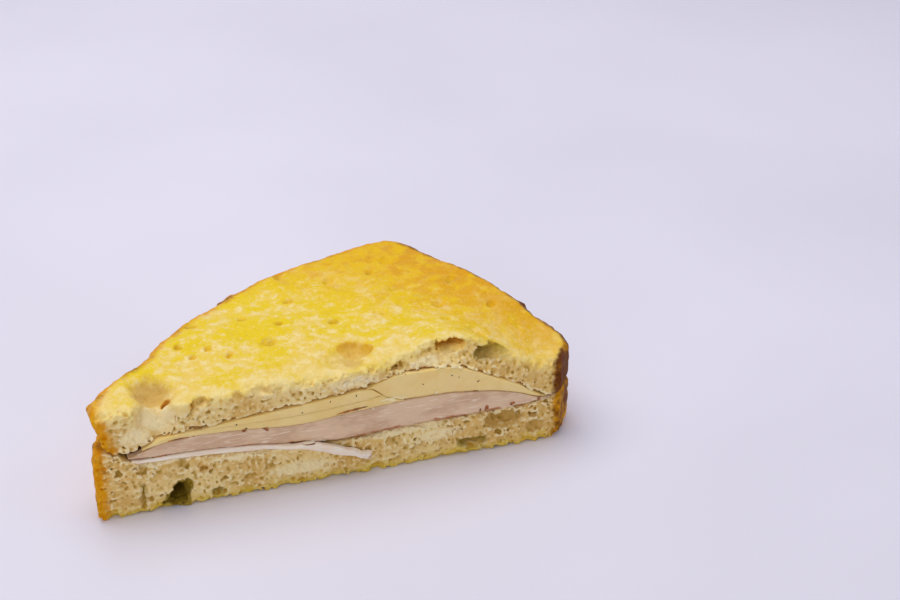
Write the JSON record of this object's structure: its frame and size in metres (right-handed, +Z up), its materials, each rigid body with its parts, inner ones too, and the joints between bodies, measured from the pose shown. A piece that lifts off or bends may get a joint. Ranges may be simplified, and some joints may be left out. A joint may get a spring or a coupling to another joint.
{
  "type": "toasted sandwich half",
  "caption": "Half of a toasted sandwich cut across its middle: browned slices of bread with turkey and cheese between them, lying flat with its cut face open to view.",
  "frame": {"origin": "middle of the part's box, on the flat underside that it lies on", "axes": "+X along the cut face, from its thick left end to its right end; +Y from the cut face into the food; +Z up"},
  "size_m": [0.156, 0.0888, 0.04],
  "materials": {
    "bread": "matte, toasted and buttered",
    "turkey": "satin, moist",
    "cheese": "satin, half melted"
  },
  "bodies": {
    "root": {"bread_bottom": "bread", "bread_top": "bread", "turkey_main": "turkey", "turkey_thin": "turkey", "cheese_left_lower": "cheese", "cheese_left_upper": "cheese", "cheese_right": "cheese"}
  },
  "joints": []
}
